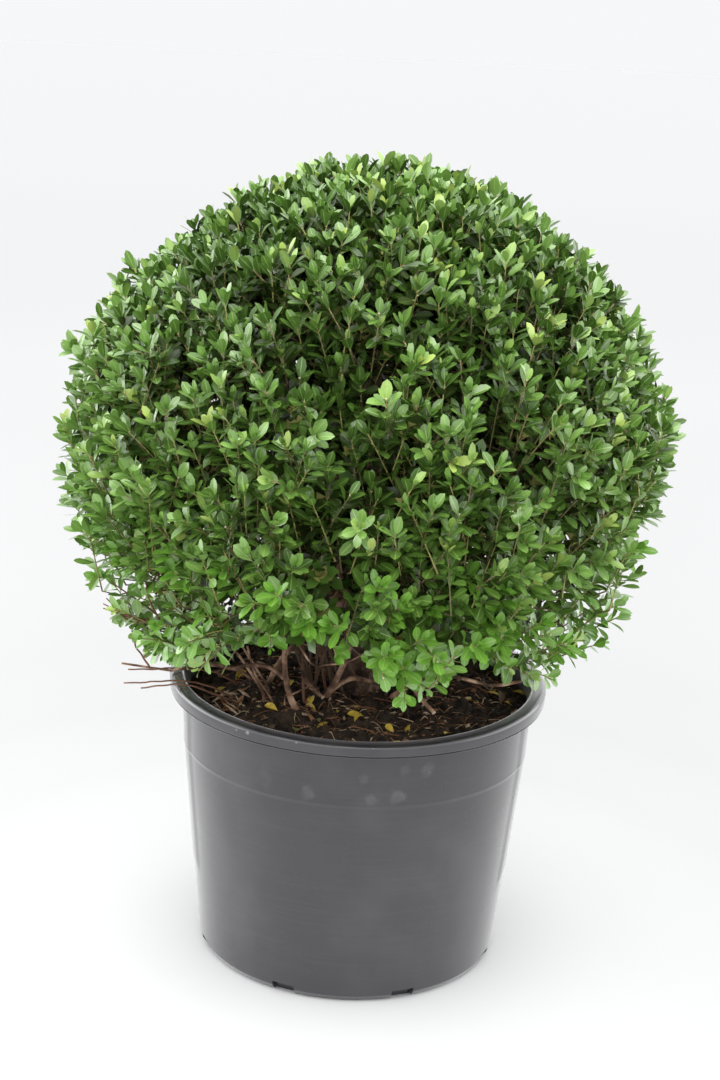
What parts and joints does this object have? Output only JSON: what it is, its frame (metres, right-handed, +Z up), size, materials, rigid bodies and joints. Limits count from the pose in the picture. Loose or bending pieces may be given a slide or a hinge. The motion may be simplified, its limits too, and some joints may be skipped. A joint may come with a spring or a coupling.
{
  "type": "potted japanese holly ball",
  "caption": "Clipped evergreen shrub with small leaves, grown as a ball on a short trunk in a round nursery pot with a rolled lip.",
  "frame": {"origin": "centre of the pot's flat underside, at floor level", "axes": "+Z up through the plant; -Y is the side that faces the camera of the picture; +X is that picture's right"},
  "size_m": [0.6197, 0.6214, 0.8296],
  "materials": {
    "pot": "satin dark grey moulded plastic, dusty, with scuffs along the lip",
    "soil": "dark brown peat with bark chips and fallen leaves",
    "bark": "grey-brown bark, finely wrinkled",
    "foliage": "small glossy leaves, dark green with fresher green tips"
  },
  "bodies": {
    "root": {"pot": "pot", "soil": "soil", "trunk": "bark", "bough_top": "bark", "bough_upper_front_left": "bark", "bough_upper_front_right": "bark", "bough_upper_right": "bark", "bough_upper_back": "bark", "bough_upper_left": "bark", "stem_front": "bark", "bough_right": "bark", "bough_back_right": "bark", "bough_back_left": "bark", "stem_left": "bark", "bare_branch": "bark", "foliage_top": "foliage", "foliage_upper_front_left": "foliage", "foliage_upper_front_right": "foliage", "foliage_upper_right": "foliage", "foliage_upper_back": "foliage", "foliage_upper_left": "foliage", "foliage_front": "foliage", "foliage_right": "foliage", "foliage_back_right": "foliage", "foliage_back_left": "foliage", "foliage_left": "foliage"}
  },
  "joints": []
}
